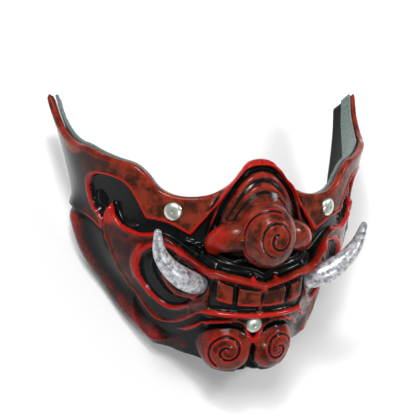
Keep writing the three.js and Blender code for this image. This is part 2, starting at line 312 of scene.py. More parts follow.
# ---------------------------------------------------------------- meshes
def sheet_faces(rows: int, columns: int, wrap: bool) -> Array:
    """Quads between neighbouring rows of a grid, joined round from last column to first."""
    count = columns if wrap else columns - 1
    i, k = np.meshgrid(np.arange(rows - 1), np.arange(count), indexing="ij")
    here, there = i * columns + k, i * columns + (k + 1) % columns
    return np.stack([here, there, there + columns, here + columns], -1).reshape(-1, 4)


def new_object(name: str, data: bpy.types.ID) -> bpy.types.Object:
    """A new object at the origin, in the scene's own collection."""
    made = bpy.data.objects.new(name, data)
    bpy.context.scene.collection.objects.link(made)
    return made


def spokes_about(axis: Array, sides: int) -> Array:
    """Spokes square to each axis, one turn of them.

    The first is the unit cross product of straight up and the axis, and the one a
    quarter turn on is the cross product of the axis and the first.

    Args:
        axis: A unit vector, or several.
        sides: Spokes in the turn.

    Returns:
        The unit spokes of each axis.
    """
    first = np.cross([0, 0, 1], axis)
    first /= np.linalg.norm(first, axis=-1, keepdims=True)
    second = np.cross(axis, first)
    turn = 2 * np.pi * np.arange(sides)[:, None] / sides
    return first[..., None, :] * np.cos(turn) + second[..., None, :] * np.sin(turn)


def swept(line: Points, radii: Sequence[float], steps: int, sides: int) -> Array:
    """Rings of circles carried along a smooth path and square to it, both ends rounded.

    The ends add rings at 30, 55 and 75 degrees round a hemisphere.

    Args:
        line: Knots of the path.
        radii: The circle's radius at each knot.
        steps: Rings in each span of the path.
        sides: Points in each ring.

    Returns:
        The rings, from the start of the path to its end.
    """
    path = smooth_line(line, steps)
    radius = smooth_line([(r,) for r in radii], steps)[:, :, None]
    tangent = np.gradient(path, axis=0)
    tangent /= np.linalg.norm(tangent, axis=1, keepdims=True)
    spokes = spokes_about(tangent, sides)
    rings = path[:, None] + spokes * radius
    closing = np.radians([30, 55, 75])[:, None, None]
    tip = path[-1] + (tangent[-1] * np.sin(closing) + spokes[-1] * np.cos(closing)) * radius[-1]
    root = path[0] + (spokes[0] * np.cos(closing) - tangent[0] * np.sin(closing)) * radius[0]
    return np.concatenate([root[::-1], rings, tip])


@dataclass
class Surface:
    """A closed surface: rings of points, each ring closed, with a hub at either end."""

    rings: Array
    fields: dict[str, Array]

    def build(self, name: str, pose: RestPose) -> bpy.types.Object:
        """Makes the mesh in its place, smooth, with a face fan closing each end.

        Args:
            name: The piece's name.
            pose: Where the worn mask lies.

        Returns:
            The new object, with one float attribute for each field.
        """
        count, sides = self.rings.shape[:2]
        hubs = self.rings[[0, -1]].mean(1)
        points = np.vstack([self.rings.reshape(-1, 3), hubs])
        quads = sheet_faces(count, sides, wrap=True)
        k, after = np.arange(sides), (np.arange(sides) + 1) % sides
        hub, last = np.full(sides, count * sides), (count - 1) * sides
        start = np.stack([hub, after, k], -1)
        end = np.stack([hub + 1, last + k, last + after], -1)
        triangles = np.vstack([start, end, quads[:, [0, 1, 2]], quads[:, [0, 2, 3]]])
        a, b, c = (points[triangles[:, n]] for n in range(3))
        faces = [*quads.tolist(), *start.tolist(), *end.tolist()]
        if np.einsum("ij,ij->", a, np.cross(b, c)) < 0:
            faces = [face[::-1] for face in faces]
        mesh = bpy.data.meshes.new(name)
        mesh.from_pydata(pose.lay(points).tolist(), [], faces)
        mesh.polygons.foreach_set("use_smooth", [True] * len(faces))
        for field, values in self.fields.items():
            ends = [values[0].mean(), values[-1].mean()]
            whole = np.concatenate([values.ravel(), ends]).astype(np.float32)
            mesh.attributes.new(field, "FLOAT", "POINT").data.foreach_set("value", whole)
        return new_object(name, mesh)


def finish_piece(piece: bpy.types.Object, finish: "Finish", slot: str, *nodes: str) -> None:
    """Dresses a piece, fixes it to the frame and logs it.

    Args:
        piece: The new piece.
        finish: The finish that makes its material.
        slot: The record's material slot; not used.
        nodes: CAD nodes that the piece stands for.
    """
    piece.data.materials.append(finish.material())
    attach(piece, "root")
    if nodes:
        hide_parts(*nodes)
    log.info("%s: %d faces", piece.name, len(piece.data.polygons))


# ---------------------------------------------------------------- finishes
def linear(code: str) -> tuple[float, float, float, float]:
    """An sRGB hex colour as linear RGBA."""
    parts = [int(code[k:k + 2], 16) / 255 for k in (1, 3, 5)]
    return (*(p / 12.92 if p <= 0.04045 else ((p + 0.055) / 1.055) ** 2.4 for p in parts), 1.0)


def fill(tree: bpy.types.NodeTree, sockets: bpy.types.NodeInputs, inputs: dict) -> None:
    """Links or sets each of the sockets that is named, or numbered, in inputs."""
    for key, value in inputs.items():
        if isinstance(value, bpy.types.NodeSocket):
            tree.links.new(value, sockets[key])
        else:
            sockets[key].default_value = value


def add_node(tree: bpy.types.NodeTree, kind: str, inputs: dict, out: int | str = 0,
             **settings: object) -> bpy.types.NodeSocket:
    """Adds a node, sets it up and links it.

    Args:
        tree: The node tree.
        kind: The node's type name.
        inputs: Input sockets by name or index, each with a value or a socket to link.
        out: Name or index of the output socket that is wanted.
        settings: The node's own properties.

    Returns:
        The wanted output socket.
    """
    node = tree.nodes.new(kind)
    for key, value in settings.items():
        setattr(node, key, value)
    fill(tree, node.inputs, inputs)
    return node.outputs[out]


@dataclass(frozen=True)
class Finish:
    """A surface finish. Each kind wires its own pattern into one Principled shader."""

    name: str

    def material(self) -> bpy.types.Material:
        """The material, made once and then shared."""
        found = bpy.data.materials.get(self.name)
        if found is None:
            found = bpy.data.materials.new(self.name)
            found.use_nodes = True
            tree = found.node_tree
            fill(tree, tree.nodes["Principled BSDF"].inputs, self.wire(tree))
        return found

    def wire(self, tree: bpy.types.NodeTree) -> dict[str, object]:
        """Adds the pattern's nodes and gives the shader's inputs; a plain finish has none."""
        return {}

    @staticmethod
    def noise(tree: bpy.types.NodeTree, size_mm: float, detail: float = 4.0,
              stretch: tuple[float, float, float] = (1, 1, 1)) -> bpy.types.NodeSocket:
        """Noise in Object coordinates whose blotches are about size_mm across."""
        coords = add_node(tree, "ShaderNodeTexCoord", {}, out="Object")
        placed = add_node(tree, "ShaderNodeMapping", {"Vector": coords, "Scale": stretch})
        inputs = {"Vector": placed, "Scale": 1 / (size_mm * MM), "Detail": detail}
        return add_node(tree, "ShaderNodeTexNoise", inputs | {"Roughness": 0.6})


@dataclass(frozen=True)
class LacquerFinish(Finish):
    """Urushi-style lacquer over a moulded resin shell, brushed on and then antiqued.

    Black lacquer stays in the carving, brownish red lies on the plates, and a bright red
    is dry-brushed over the ridges. The surface is smooth, so highlights are small and sharp.
    """

    name: str = "antiqued_red_lacquer"
    black: str = "#070c0b"
    maroon: str = "#2e0906"
    plate: str = "#82301e"
    olive: str = "#2c170b"
    bright: str = "#b01a12"
    roughness: float = 0.11
    dull_roughness: float = 0.25
    blotch_mm: float = 7.0
    speck_mm: float = 1.5
    ripple_mm: float = 3.2
    ripple_depth_mm: float = 0.25

    def wire(self, tree: bpy.types.NodeTree) -> dict[str, object]:
        """Mixes the paints by the carving's attributes, their edges broken by two noises."""
        red, dark, tone = (
            add_node(tree, "ShaderNodeAttribute", {}, out="Fac", attribute_name=key)
            for key in ("red", "dark", "tone")
        )
        black, maroon, plate, olive, bright = (
            linear(code) for code in (self.black, self.maroon, self.plate, self.olive, self.bright)
        )
        blotch, speck = self.noise(tree, self.blotch_mm), self.noise(tree, self.speck_mm, 3)
        aged = add_node(tree, inputs={VALUE: blotch, FROM_LOW: 0.4, FROM_HIGH: 0.58, TO_HIGH: 0.9},
                        **SPREAD)
        paint = add_node(tree, inputs={AMOUNT: aged, UNDER: plate, OVER: olive}, **COLOUR_MIX)
        paint = add_node(tree, inputs={AMOUNT: tone, UNDER: maroon, OVER: paint}, **COLOUR_MIX)
        for field, low, high, coat in ((red, 0.42, 0.85, bright), (dark, 0.45, 0.8, black)):
            broken = add_node(tree, inputs={0: speck, 1: 0.5, 2: field}, **SCALED_SUM)
            limits = {FROM_LOW: low, FROM_HIGH: high}
            share = add_node(tree, inputs={VALUE: broken} | limits, **SPREAD)
            paint = add_node(tree, inputs={AMOUNT: share, UNDER: paint, OVER: coat}, **COLOUR_MIX)
        dull = {VALUE: speck, FROM_LOW: 0.3, FROM_HIGH: 0.7, TO_LOW: self.roughness}
        ripple = {"Height": self.noise(tree, self.ripple_mm, 2), "Strength": 0.5,
                  "Distance": self.ripple_depth_mm * MM}
        return {
            "Base Color": paint,
            "Roughness": add_node(tree, inputs=dull | {TO_HIGH: self.dull_roughness}, **SPREAD),
            "Normal": add_node(tree, "ShaderNodeBump", ripple),
            "Specular IOR Level": 0.16,
            "Coat Weight": 0.06,
            "Coat Roughness": 0.1,
        }


@dataclass(frozen=True)
class TuskFinish(Finish):
    """Cast resin tusk, silvered and rubbed with a dark wash that stays in the pores."""

    name: str = "silvered_resin_tusk"
    silver: str = "#cfd2d6"
    wash: str = "#74727a"
    deep: str = "#3c3743"
    stain_mm: float = 2.8
    speck_mm: float = 1.3
    pore_depth_mm: float = 0.3

    def wire(self, tree: bpy.types.NodeTree) -> dict[str, object]:
        """A coarse stain of wash over silver, with dark specks in its heart."""
        stain, speck = self.noise(tree, self.stain_mm, 6), self.noise(tree, self.speck_mm)
        amount = add_node(tree, inputs={VALUE: stain, FROM_LOW: 0.42, FROM_HIGH: 0.62}, **SPREAD)
        deep = add_node(tree, inputs={VALUE: speck, FROM_LOW: 0.52, FROM_HIGH: 0.66, TO_HIGH: 0.7},
                        **SPREAD)
        wash = {AMOUNT: deep, UNDER: linear(self.wash), OVER: linear(self.deep)}
        wash = add_node(tree, inputs=wash, **COLOUR_MIX)
        colour = {AMOUNT: amount, UNDER: linear(self.silver), OVER: wash}
        pores = {"Height": speck, "Distance": self.pore_depth_mm * MM, "Strength": 0.5}
        return {
            "Base Color": add_node(tree, inputs=colour, **COLOUR_MIX),
            "Normal": add_node(tree, "ShaderNodeBump", pores),
            "Metallic": 0.35,
            "Roughness": 0.28,
            "Coat Weight": 0.4,
            "Coat Roughness": 0.15,
        }


@dataclass(frozen=True)
class NickelFinish(Finish):
    """Nickel-plated steel rivet, tumbled bright, with a little tarnish, and painted shade in its
    dimple and at its edge.
    """

    name: str = "nickel_plated_rivet"
    plate: str = "#dde3d8"
    tarnish_and_shade: str = "#7d8a80"
    stain_mm: float = 1.8

    def wire(self, tree: bpy.types.NodeTree) -> dict[str, object]:
        """Tarnish by noise, and painted shade where the cap's own dark attribute is high."""
        dark = add_node(tree, "ShaderNodeAttribute", {}, out="Fac", attribute_name="dark")
        stain = self.noise(tree, self.stain_mm)
        amount = add_node(tree, inputs={0: stain, 1: 0.5, 2: dark}, **SCALED_SUM)
        amount = add_node(tree, inputs={VALUE: amount, FROM_LOW: 0.25, FROM_HIGH: 0.9}, **SPREAD)
        colour = {AMOUNT: amount, UNDER: linear(self.plate), OVER: linear(self.tarnish_and_shade)}
        dull = {VALUE: stain, TO_LOW: 0.25, TO_HIGH: 0.45}
        return {
            "Base Color": add_node(tree, inputs=colour, **COLOUR_MIX),
            "Roughness": add_node(tree, inputs=dull, **SPREAD),
            "Metallic": 1.0,
        }


@dataclass(frozen=True)
class FeltFinish(Finish):
    """Grey-green wool felt, pressed, with its short fibres standing off the face."""

    name: str = "grey_green_wool_felt"
    light: str = "#7c918b"
    shade: str = "#3c4a47"
    # A wool fibre is about 0.03 mm thick, too fine to show: tufts of a millimetre are drawn.
    tuft_mm: float = 0.9
    cross_tuft_mm: float = 1.1
    nap_mm: float = 0.4

    def wire(self, tree: bpy.types.NodeTree) -> dict[str, object]:
        """Matted fibres: noise drawn out one way added to noise drawn out the other."""
        fibre = self.noise(tree, self.tuft_mm, 6, (1, 2.2, 1))
        cross = self.noise(tree, self.cross_tuft_mm, 6, (2.2, 1, 1.4))
        mat = add_node(tree, "ShaderNodeMath", {0: fibre, 1: cross}, operation="ADD")
        amount = add_node(tree, inputs={VALUE: mat, FROM_LOW: 0.8, FROM_HIGH: 1.2}, **SPREAD)
        colour = {AMOUNT: amount, UNDER: linear(self.shade), OVER: linear(self.light)}
        nap = {"Height": mat, "Distance": self.nap_mm * MM, "Strength": 0.8}
        return {
            "Base Color": add_node(tree, inputs=colour, **COLOUR_MIX),
            "Normal": add_node(tree, "ShaderNodeBump", nap),
            "Roughness": 0.92,
            "Sheen Weight": 0.3,
            "Sheen Roughness": 0.5,
        }


@dataclass(frozen=True)
class TableFinish(Finish):
    """Matt white painted board for the table that the mask lies on."""

    name: str = "matt_white_board"
    white: str = "#f6f6f6"
    hollow: str = "#f2f2f2"
    grain_mm: float = 2.0

    def wire(self, tree: bpy.types.NodeTree) -> dict[str, object]:
        """White with a trace of unevenness from the roller."""
        grain = self.noise(tree, self.grain_mm, 2)
        colour = {AMOUNT: grain, UNDER: linear(self.white), OVER: linear(self.hollow)}
        return {"Base Color": add_node(tree, inputs=colour, **COLOUR_MIX), "Roughness": 0.9}


# ---------------------------------------------------------------- the carved relief
# Engraved lines as azimuth in degrees and radius in millimetres about their middle.
NOSE_SPIRAL = (
    (90, 2.7), (180, 3.2), (270, 4.8), (360, 7.6), (450, 8.6), (540, 9.4), (625, 9.4),
)
NOSE_ARC = ((75, 15.0), (110, 16.8), (150, 20.0), (190, 22.0), (235, 23.4))
LOBE_SPIRAL = (
    (100, 1.8), (0, 3.2), (-90, 4.6), (-180, 6.2), (-270, 8.0), (-360, 9.6), (-420, 10.4),
)

# Each rivet's CAD node, arc position and height as worn.
RIVETS = (
    ("stud_cheek_right", -47.5, 14.8), ("stud_cheek_left", 47.5, 14.8), ("stud_chin", 0.0, -47.5),
)


@dataclass
class Relief:
    """Heights and paints that gather as the carving goes on, all on the grid of u and z."""

    u: Array
    z: Array
    height: Array
    red: Array | float = 0.0
    dark: Array | float = 0.0

    def add(self, shape: Array, height: float = 0.0, red: float = 0.0, dark: float = 0.0) -> None:
        """Adds a share of height and paint wherever the shape is, from 0 to 1."""
        self.height = self.height + height * shape
        self.red = self.red + red * shape
        self.dark = self.dark + dark * shape

    def away(self, line: Points) -> Array:
        """Distance from the smooth curve through a line's knots."""
        return distance(self.u, self.z, smooth_line(line))

    def ridge(self, line: Points, width: float, within: Array | float = 1.0,
              **amounts: float) -> None:
        """Adds a bell along the smooth curve through a line's knots.

        Args:
            line: Knots as (u, z).
            width: Half width of the bell, in millimetres.
            within: Share of the bell that is kept, from 0 to 1.
            amounts: Height, red and dark at the middle of the line.
        """
        self.add(bell(self.away(line), width) * within, **amounts)


@dataclass(frozen=True)
class Carving:
    """The outside of the shell: plates, folds, lips and hollows over the smooth face.

    All lines are (u, z) on the wearer's left and are mirrored by reading |u|.
    """

    plate_front: Points = (
        (0, 40.5), (5, 40), (9, 38), (13, 34.5), (17, 29), (21, 23.5), (25, 18), (29, 12.5),
        (33, 8), (36.5, 3.7), (38.5, 2),
    )
    plate_cheek: Points = ((38.5, 2), (41, 3.5), (46, 6), (51, 8), (57, 9), (63, 9.5))
    plate_hollow: Points = (
        (63, 9.5), (66, 15), (70, 22), (75, 27.5), (82, 30), (90, 30.5), (96, 29),
        (100, 24.5), (101, 18), (99, 12), (95, 8.5), (92, 4), (93, -1.5),
    )
    plate_side: Points = (
        (93, -1.5), (99, 2), (106, 4.5), (114, 6.5), (122, 8), (135, 9.5), (150, 12),
    )
    # Two corners above the mask, which close the plate's outline.
    plate_close: Points = ((160, 90), (0, 90))
    crescents: tuple[Points, ...] = (
        ((81.5, 16.5), (83, 12), (80, 7.5), (75.5, 4.8), (70, 4.2)),
        ((78, 24), (73, 19), (69, 13), (68, 8)),
    )
    fold: Points = (
        (85.5, 14), (84, 10), (81, 6), (77, 3.2), (72, 1.5), (66, 0.5), (57, 1.5),
        (50, -0.5), (43, -4.5), (36, -9.5), (29, -13.5), (20, -16.5), (10, -19), (0, -21),
    )
    flame_back: Points = ((90.5, -5), (91.5, 0), (91, 4.5), (89.5, 9.5), (85.5, 14))
    jaw: Points = (
        (0, -39.3), (14, -39), (24, -38.9), (30, -40.5), (36, -44), (43, -48.5), (50, -51),
        (57, -51.7), (64, -50), (70, -46.5), (76, -40), (81, -31), (85, -22), (88, -13),
        (90.5, -5),
    )
    second_jaw: Points = (
        (14, -43.5), (20, -44.5), (28, -46.8), (35, -50.5), (42, -53.5), (49, -54.8),
    )
    socket: Points = (
        (59, -6), (64, -9), (67, -13), (68.5, -19), (68, -26), (65.5, -32), (60.5, -37),
        (54, -40), (47, -39.8), (40, -37), (34.5, -33.5), (29.5, -30), (27, -25), (26.5, -20),
        (29, -15.5), (36, -11), (44, -7), (52, -5), (59, -6),
    )
    socket_outer: Points = ((66, -6), (70.5, -12), (72, -20), (70.5, -28), (66, -36))
    socket_ledge: Points = ((56, -9), (60, -14), (60.5, -21), (58, -28), (53, -33.5), (46, -35.5))
    socket_heart: tuple[float, float] = (41.5, -21)
    upper_lip: Points = (
        (0, -22.7), (12, -19.6), (25, -17), (31, -15), (37, -11.5), (43, -8), (50, -6),
    )
    lower_lip: Points = ((0, -39.3), (13, -39), (24, -38.7), (30, -39.8), (36, -42.5))
    flare_height: float = 4.5
    cheek_drop: float = 2.0
    jaw_hollow: float = 2.2
    plate_rise: float = 2.2
    hollow_depth: float = 4.2
    bowl_depth: float = 3.2
    lobe_rise: float = 6.0
    jaw_band: Points = ((121, 0), (119, -14), (112, -30), (102, -43), (88, -53), (70, -60))
    jaw_stripe: Points = (
        (117, 2), (114, -10), (107, -24), (98, -36), (86, -47), (72, -56.5), (58, -62),
        (44, -65),
    )
    nose_side: Points = (
        (33, -4), (30, -2), (27.5, 7), (24.5, 15), (21, 23), (17.5, 30), (12, 36.5),
    )
    wrinkles: tuple[Points, ...] = (
        ((0, 38.6), (6, 37.2), (11, 34), (15.5, 28.5), (19.5, 21.5), (23, 14.5), (25, 8)),
        ((0, 32.8), (5, 31.3), (9, 28), (13, 22.8), (16.5, 17), (19, 12.5)),
        ((0, 26.5), (5, 25.2), (9, 22), (13, 17), (16, 12), (18, 10)),
    )
    facet: Points = ((40, -1), (34, -3.5), (30, -9), (24, -13))
    nostril_rim: Points = ((8, -8), (12, -10), (17, -10), (22, -7.5))
    under_nose: Points = ((0, -16.8), (5, -14.5), (12, -13.2), (20, -11.5), (27, -7.5))
    # Where the teeth meet, and the height of their feet and crowns there.
    teeth: Sequence[float] = (0, 13.5, 24)
    feet: Sequence[float] = (-34.6, -33.6, -30.6)
    crowns: Sequence[float] = (-24.8, -22.8, -19.3)
    tooth_gap: float = 0.8
    arch: Points = (
        (28, -48.5), (24, -46), (19, -44.2), (14, -43.3), (9.5, -44), (6, -46.8),
        (3.8, -51.5), (0, -57),
    )
    lobe: tuple[float, float] = (14.5, -61.5)

    def base(self, u: Array, z: Array) -> Array:
        """Broad swellings of the muzzle, the bridge of the nose and the flared jaw."""
        muzzle = dome(u, z, (0, -25), (44, 26), 6)
        return muzzle + dome(u, z, (0, 19), (20, 24), 8, 0.9) + self.flare(u, z)

    def flare(self, u: Array, z: Array) -> Array:
        """The jaw's edge turned outwards: a wide bell along the jaw band."""
        return self.flare_height * bell(distance(u, z, np.asarray(self.jaw_band, float)), 11)

    def room(self, u: Array, z: Array, wall: float) -> Array:
        """Inner wall: nose, muzzle, hollows and flare only, a wall's thickness further in."""
        nose = dome(u, z, (0, 10), (24, 34), 13)
        muzzle = dome(u, z, (0, -25), (44, 26), 5)
        hollows = dome(u, z, (81, 17), (22, 17), -2.4) + dome(u, z, (48, -24), (22, 20), -2)
        return np.maximum(nose, muzzle) + hollows + self.flare(u, z) - wall

    def carve(self, u: Array, z: Array) -> dict[str, Array]:
        """Height of the carved outside and where each paint lies.

        Args:
            u: Arc position, zero or more.
            z: Height as worn.

        Returns:
            "height" in millimetres, and "red", "dark" and "tone" from 0 to 1.
        """
        inland = 1 - self.flare(u, z) / self.flare_height
        level = self.base(u, z) - self.cheek_drop * step_up(u, 20, 34) * inland
        work = Relief(u, z, level - dome(u, z, (60, -42), (22, 20), self.jaw_hollow, 0.5))
        panel = (self.plate_front, self.plate_cheek, self.plate_hollow, self.plate_side)
        plate = np.vstack([*map(smooth_line, panel), self.plate_close])
        body = np.vstack([*map(smooth_line, (self.fold, self.jaw, self.flame_back))])
        on_plate, on_body = depth_in(u, z, plate), depth_in(u, z, body)
        self.plates(work, on_plate, on_body)
        self.nose(work, on_body)
        self.socket_bowl(work)
        self.mouth(work, on_body)
        self.chin(work)
        plated, bodied, bare = (step_up(d, -1, 1) for d in (on_plate, on_body, -on_plate))
        tone = 0.95 * plated * (1 - 0.8 * step_up(u, 70, 98))
        tone += 0.35 * bodied * bare + 0.8 * step_down(u, 20, 32) * bare
        work.add(plated * step_up(u, 66, 96), dark=0.3)
        work.add(plated * step_up(u, 98, 114), dark=0.7)
        work.add(bodied * step_up(u, 34, 50), dark=0.38)
        return {"height": work.height, "red": work.red, "dark": work.dark,
                "tone": np.clip(tone, 0, 1)}

    def plates(self, work: Relief, on_plate: Array, on_body: Array) -> None:
        """Cheek plate, the hollow behind the flame, the cheek's body and the jaw."""
        u, z = work.u, work.z
        side = 1 - 0.5 * step_up(u, 96, 112)
        work.add(step_up(on_plate, -0.7, 0.7), height=self.plate_rise)
        work.add(side * bell(on_plate - 1.1, 1.0), height=0.6)
        work.add(bell(on_plate + 1.8, 1.4), height=-0.7)
        work.add(side * bell(on_plate - 0.7, 0.8) * (0.3 + 0.7 * step_up(u, 4, 14)), red=0.7)

        # The hollow is black, with a boss in its far corner and two crescents inside.
        hollow = dome(u, z, (81, 17), (21, 15), 1, 0.6) * step_up(-on_plate, 0, 2)
        work.add(hollow * step_up(-on_body, 0, 1.5), height=-self.hollow_depth, dark=1.3)
        work.add(dome(u, z, (94.5, 14.5), (5, 6.5), 1, 0.5), height=3.4)
        work.ridge(self.crescents[0], 1.5, height=2.2)
        work.ridge(self.crescents[1], 1.6, height=1.0)

        # The body is a raised field with a bright rolled edge along the jaw.
        front = step_up(u, 22, 34)
        faded = front * (1 - 0.5 * step_up(u, 72, 86))
        work.add(step_up(on_body, -0.9, 0.9) * (0.35 + 0.65 * front), height=self.plate_rise)
        work.add(front * bell(on_body - 1.0, 1.1), height=0.7)
        work.ridge(self.jaw, 1.0, faded, red=0.95, dark=-0.6)
        work.add(faded * bell(on_body - 4.5, 2.6), red=0.16)
        work.ridge(self.fold, 0.9, step_up(u, 53, 58), red=0.8, dark=-0.5)
        work.ridge(self.fold, 1.2, step_down(u, 50, 56), height=0.9)
        work.ridge(self.flame_back, 1.4, height=0.9, red=0.25)
        spike = bell(np.hypot(u - 86.5, z - 9), 5.0) * step_up(on_body, -0.5, 0.5)
        work.add(spike, red=0.8, dark=-0.5)
        channel = step_up(-on_plate, 0.2, 1.5) * step_up(-on_body, 0.2, 1.5) * step_up(z, -14, -9)
        channel *= step_up(u, 30, 38) * step_down(u, 92, 96)
        work.add(channel, height=-0.8, dark=1.0)
        work.ridge(self.second_jaw, 1.0, height=1.1, red=0.65, dark=-0.3)

        # Below the side panel: black, with a soft maroon-red stripe down to the chin.
        outside = step_up(-on_plate, -0.5, 1.5) * step_up(-on_body, -0.5, 1.5) * step_up(u, 34, 46)
        soft = bell(work.away(self.jaw_stripe), 5.5)
        work.add(outside * (1 - soft), dark=0.62)
        work.add(outside * soft, height=0.8, red=0.2, dark=0.1)

    def nose(self, work: Relief, on_body: Array) -> None:
        """Ridges beside the nose, wrinkles over its bridge and the dark field below it."""
        u, z = work.u, work.z
        edge = work.away(self.nose_side)
        work.add(bell(edge, 1.2), height=1.4, red=0.1)
        work.add(bell(edge - 3.0, 1.4) * (u < 38), height=-1.0, dark=0.5)
        work.ridge(self.facet, 2.0, height=1.8, dark=0.35)
        for line in self.wrinkles:
            reach = work.away(line)
            work.add(bell(reach, 0.95), height=-1.6, dark=0.9)
            work.add(bell(reach - 2.4, 1.2), height=0.4, red=0.1)

        field = step_up(-on_body, -0.5, 1.5) * step_down(u, 31, 36) * step_down(z, 6, 12)
        work.add(field * step_up(z, -36, -32), dark=0.95)
        work.ridge(self.under_nose, 1.3, height=1.6)
        work.ridge(self.nostril_rim, 1.1, height=1.8)
        work.add(dome(u, z, (15, -5.5), (6.5, 3.0), 1, 0.6), height=-4, dark=1)
        work.add(bell(np.hypot(u - 5.5, z + 18.2), 1.3), height=1.4, red=0.9, dark=-0.9)

    def socket_bowl(self, work: Relief) -> None:
        """A bowl with a bright lip, a ledge inside and a ring round the tusk's root."""
        u, z = work.u, work.z
        inside = depth_in(u, z, smooth_line(self.socket))
        bowl = step_up(inside, -0.7, 2.4)
        standing = work.height - self.base(u, z) + 2
        work.height = work.height - standing * bowl * 0.8 - self.bowl_depth * bowl
        work.add(bell(inside + 1.2, 1.2), height=1.3)
        work.add(bell(inside + 0.8, 0.8) * step_up(u, 36, 48), red=1.1, dark=-0.7)
        work.ridge(self.socket_outer, 1.2, height=0.9, red=0.4)
        work.ridge(self.socket_ledge, 1.6, height=2.0)
        ring = np.hypot(u - self.socket_heart[0], z - self.socket_heart[1])
        work.add(dome(u, z, self.socket_heart, (15, 15), 1, 0.5), height=3.4)
        rim = step_down(np.abs(ring - 11.2), 1.4, 2.4)
        work.add(step_up(inside, 0.2, 1.6) * (1 - 0.95 * rim), dark=1.2)
        work.add(rim, height=1.1)
        work.add(bell(ring - 12.6, 0.8) * step_up(-z, 17, 24), height=0.4, red=0.9, dark=-0.9)

    def mouth(self, work: Relief, on_body: Array) -> None:
        """Two rolled lips with four blunt teeth in the black gap between them."""
        u, z = work.u, work.z
        upper, lower = smooth_line(self.upper_lip), smooth_line(self.lower_lip)
        over = z - np.interp(u, upper[:, 0], upper[:, 1])
        gap = step_up(on_body, 0.5, 2) * step_down(u, 25.5, 28.0) * step_down(over, -0.5, 1)
        work.add(gap * step_up(z, -37.8, -35.8), height=-1.4, dark=1.2)
        work.ridge(self.upper_lip, 2.1, step_down(u, 43, 51), height=3.8, red=0.22, dark=-0.75)
        work.add(bell(over + 1.4, 0.7) * step_down(u, 40, 46), red=0.55, dark=-0.8)
        under = z - np.interp(u, lower[:, 0], lower[:, 1])
        band = step_down(np.abs(under), 0.8, 2.6) * step_down(u, 25, 33)
        work.add(band, height=2.6, red=0.6, dark=-1.2)

        foot, crown = (np.interp(u, self.teeth, z_line) for z_line in (self.feet, self.crowns))
        rise = (z - foot) / (crown - foot)
        tooth = np.zeros_like(z)
        for start, end in zip(self.teeth[:-1], self.teeth[1:]):
            across = np.abs(u - (start + end) / 2) / ((end - start) / 2 - self.tooth_gap)
            tooth = np.maximum(tooth, (1 - np.clip(across, 0, 1) ** 12) * (across < 1))
        tooth = tooth * step_up(rise, 0.0, 0.14) * step_down(rise, 0.95, 1.05)
        work.add(tooth, height=2.8, dark=-0.95)
        work.add(tooth * step_down(rise, 0.14, 0.3), red=0.8)
        work.add(tooth * step_up(rise, 0.45, 0.9), dark=0.3)

    def chin(self, work: Relief) -> None:
        """Two scrolled lobes under an arch, with the cleft between them."""
        u, z = work.u, work.z
        lobe_u, lobe_z = self.lobe
        over = work.away(self.arch)
        recess = step_up(-42.0 - z, 0, 1.2) * step_down(u, 26, 34)
        outward = np.where(u > lobe_u, lobe_u + 0.72 * (u - lobe_u), u)
        lobe = dome(outward, z, self.lobe, (15, 14), 1, 0.6)
        covered = step_up(lobe, 0, 0.5)
        work.add(recess * (1 - covered) * (1 - bell(over, 1.4)), height=-1.2, dark=1.0)
        work.add(lobe, height=self.lobe_rise)
        azimuth = np.degrees(np.arctan2(z - lobe_z, u - lobe_u))
        radius = np.hypot(z - lobe_z, u - lobe_u)
        scroll = spiral_distance(azimuth, radius, smooth_line(LOBE_SPIRAL, 8))
        work.add(bell(scroll, 0.65), height=-1.0, dark=1.0)
        work.add(bell(scroll - 1.3, 0.7) * (radius < 12), height=0.25, red=0.3)
        work.add(covered * step_up(radius, 8, 13), red=0.15, dark=0.15)
        work.add(bell(over, 1.1), height=1.6)
        work.add(bell(over, 0.8) * step_up(-u, -7, -3.5), red=1.2, dark=-1.0)
        work.add(bell(u, 1.8) * step_up(-z, 58, 61), height=-2.2, dark=0.9)


# ---------------------------------------------------------------- sub-assemblies
@dataclass(frozen=True)
class Backing:
    """Keeps the backs of swollen forms inside the wall, out of the room for the face."""

    face: FaceForm
    carving: Carving
    wall: float = WALL
    cover: float = 0.8

    def hold(self, points: Array) -> Array:
        """Moves points outwards, away from the level sections' centre, until none is deeper.

        A point's arc position is arc_radius times its angle about the centre line. Its
        distance from that line is raised to the smooth face's, plus the inner wall's
        height and the cover.

        Args:
            points: Worn points, in millimetres.

        Returns:
            The points, moved where they were too deep.
        """
        x, away, z = points[..., 0], self.face.centre_y - points[..., 1], points[..., 2]
        u = self.face.arc_radius * np.arctan2(x, away)
        base = self.face.base(u, z)
        smooth = np.hypot(base[..., 0], base[..., 1] - self.face.centre_y)
        least = smooth + self.carving.room(np.abs(u), z, self.wall) + self.cover
        reach = np.hypot(x, away)
        grown = np.maximum(reach, least) / reach
        return np.stack([x * grown, self.face.centre_y - away * grown, z], -1)


